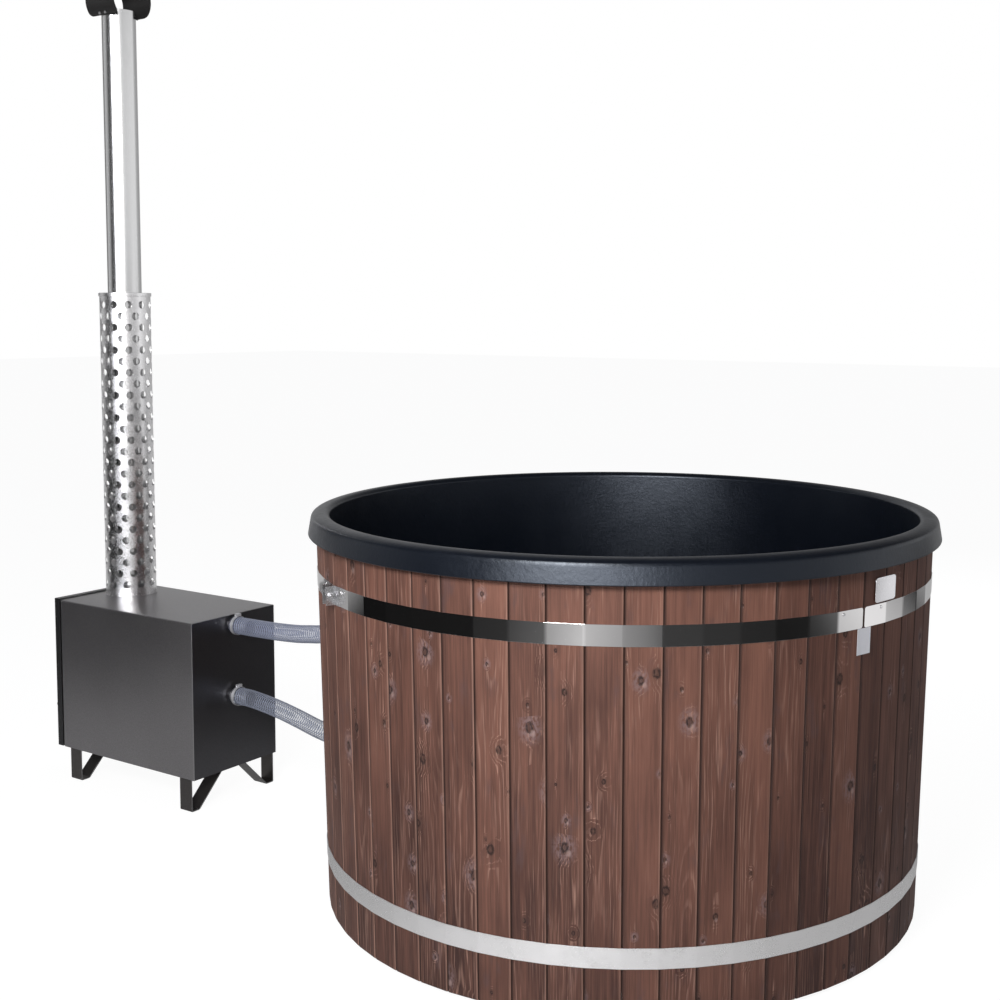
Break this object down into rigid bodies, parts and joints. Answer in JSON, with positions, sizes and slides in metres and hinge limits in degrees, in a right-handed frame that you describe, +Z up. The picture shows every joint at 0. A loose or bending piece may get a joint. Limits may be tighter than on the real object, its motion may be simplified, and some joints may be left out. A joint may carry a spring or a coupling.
{
  "type": "wooden hot tub",
  "caption": "Round wooden hot tub with a dark moulded liner, polished steel bands and an outside wood-fired water heater on legs, joined by clear hoses, with a tall guarded chimney.",
  "frame": {"origin": "on the floor under the tub's axis, at the middle bearer's underside", "axes": "+Z up along the tub's axis; the heater stands on the -X side with its long side along X and its door facing -X"},
  "size_m": [3.001, 1.8082, 2.77],
  "materials": {
    "thermowood": "satin",
    "floor_timber": "matte",
    "liner_plastic": "satin, fine orange peel",
    "polished_steel": "polished",
    "brushed_steel": "satin",
    "card_white": "matte",
    "fitting_plastic": "satin",
    "gasket_rubber": "matte",
    "clear_hose": "gloss",
    "valve_brass": "satin",
    "lever_red": "gloss",
    "black_sheet": "fine metallic, semi-gloss",
    "jacket_steel": "mill finish",
    "grate_iron": "cast",
    "rope_seal": "matte"
  },
  "bodies": {
    "tub": {"base_bearers": "floor_timber", "floor_boards": "floor_timber", "drain_board": "floor_timber", "liner_shell": "liner_plastic", "staves_1": "thermowood", "staves_2": "thermowood", "staves_3": "thermowood", "staves_4": "thermowood", "staves_5": "thermowood", "staves_6": "thermowood", "hose_stave": "thermowood", "upper_band_front": "polished_steel", "upper_band_back": "polished_steel", "lower_band": "brushed_steel", "band_lugs": "brushed_steel", "band_bolts": "brushed_steel", "band_screws": "brushed_steel", "blank_plate": "brushed_steel", "blank_card": "card_white", "upper_wall_fitting": "fitting_plastic", "lower_wall_fitting": "fitting_plastic", "wall_nuts": "fitting_plastic", "wall_gaskets": "gasket_rubber", "suction_strainer": "fitting_plastic", "upper_hose": "clear_hose", "lower_hose": "clear_hose", "hose_clamps": "brushed_steel", "clamp_screws": "brushed_steel", "drain_flange": "fitting_plastic", "drain_pipe": "brushed_steel", "drain_valve_body": "valve_brass", "casing_cover": "black_sheet", "casing_end_panel": "black_sheet", "casing_floor_pan": "black_sheet", "front_frame": "black_sheet", "water_jacket": "jacket_steel", "stub_pipes": "brushed_steel", "grate": "grate_iron", "ash_pan": "jacket_steel", "heater_legs": "black_sheet", "leg_bolts": "brushed_steel", "casing_hinge_knuckles": "black_sheet", "hinge_pins": "brushed_steel", "flue_collar": "brushed_steel", "flue_pipe": "polished_steel", "flue_guard": "polished_steel", "guard_lower_ring": "polished_steel", "guard_upper_ring": "polished_steel", "rain_cap": "black_sheet", "rain_cap_screws": "brushed_steel"},
    "door": {"door_panel": "black_sheet", "door_liner": "jacket_steel", "door_rope_seal": "rope_seal", "door_hinge_knuckles": "black_sheet", "air_slide_rails": "black_sheet"},
    "latch": {"latch_handle": "black_sheet", "latch_finger": "brushed_steel"},
    "air_slide": {"air_slide": "brushed_steel"},
    "drain_valve": {"drain_valve_ball": "brushed_steel", "drain_lever": "lever_red"}
  },
  "joints": [
    {"name": "door_hinge", "type": "hinge", "parent": "tub", "child": "door", "pos_m": [-2.076, 0.047, 0.368], "axis": [0, 0, -1], "range_deg": [0, 110]},
    {"name": "latch_turn", "type": "hinge", "parent": "door", "child": "latch", "pos_m": [-2.108, -0.306, 0.368], "axis": [1, 0, 0], "range_deg": [0, 90]},
    {"name": "air_slide_travel", "type": "slide", "parent": "door", "child": "air_slide", "axis": [0, -1, 0], "range_m": [0, 0.035]},
    {"name": "drain_lever_turn", "type": "hinge", "parent": "tub", "child": "drain_valve", "pos_m": [0.11788, 0.87761, 0.06], "axis": [0, 0, -1], "range_deg": [0, 90]}
  ]
}
